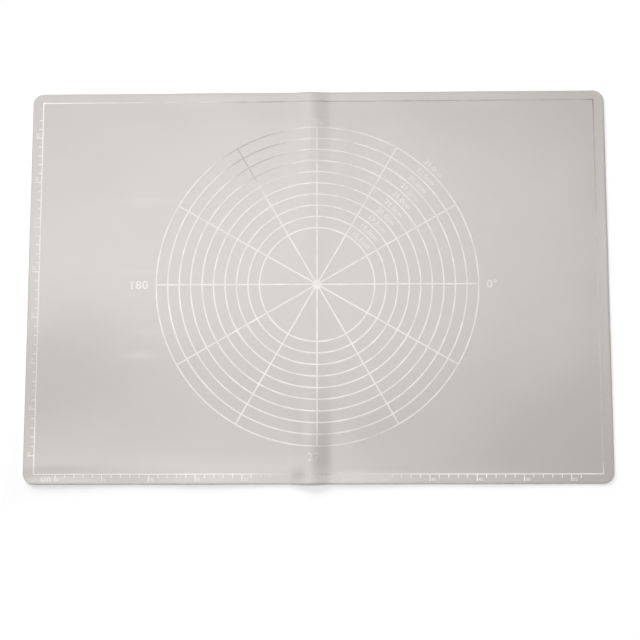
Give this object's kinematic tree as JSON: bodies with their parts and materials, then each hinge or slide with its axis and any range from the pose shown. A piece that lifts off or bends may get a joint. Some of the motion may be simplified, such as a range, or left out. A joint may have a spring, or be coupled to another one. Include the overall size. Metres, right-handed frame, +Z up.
{
  "type": "silicone baking mat",
  "caption": "Thin flat silicone baking mat with rounded corners, printed with guide circles, angle lines and centimetre scales, that folds in half at a low crease.",
  "frame": {"origin": "on the table under the middle of the printed circles, which is the middle of the mat's outline", "axes": "+X along the long side, towards the end with no side scale; +Y along the short side, away from the lower scale; +Z up out of the printed face"},
  "size_m": [0.63, 0.43, 0.0044],
  "materials": {
    "grey_silicone": "satin",
    "white_ink": "matte"
  },
  "bodies": {
    "left_half": {"angle_lines_left": "white_ink", "crease_left_crest": "grey_silicone", "crease_left_foot": "grey_silicone", "degree_numbers_left": "white_ink", "frame_line_left": "white_ink", "guide_circle_01_left": "white_ink", "guide_circle_02_left": "white_ink", "guide_circle_03_left": "white_ink", "guide_circle_04_left": "white_ink", "guide_circle_05_left": "white_ink", "guide_circle_06_left": "white_ink", "guide_circle_07_left": "white_ink", "guide_circle_08_left": "white_ink", "guide_circle_09_left": "white_ink", "guide_circle_10_left": "white_ink", "lower_numbers_left": "white_ink", "lower_scale_left": "white_ink", "sheet_left_panel": "grey_silicone", "side_numbers": "white_ink", "side_scale": "white_ink", "unit_label": "white_ink"},
    "right_half": {"angle_lines_right": "white_ink", "centre_dot": "white_ink", "crease_right_crest": "grey_silicone", "crease_right_foot": "grey_silicone", "degree_numbers_right": "white_ink", "diameter_labels": "white_ink", "frame_line_right": "white_ink", "guide_circle_01_right": "white_ink", "guide_circle_02_right": "white_ink", "guide_circle_03_right": "white_ink", "guide_circle_04_right": "white_ink", "guide_circle_05_right": "white_ink", "guide_circle_06_right": "white_ink", "guide_circle_07_right": "white_ink", "guide_circle_08_right": "white_ink", "guide_circle_09_right": "white_ink", "guide_circle_10_right": "white_ink", "lower_numbers_right": "white_ink", "lower_scale_right": "white_ink", "sheet_right_panel": "grey_silicone"}
  },
  "joints": [
    {"name": "fold_in_half", "type": "hinge", "parent": "left_half", "child": "right_half", "pos_m": [-0.008, 0, 0.0055], "axis": [0, -1, 0], "range_deg": [0, 181]}
  ]
}
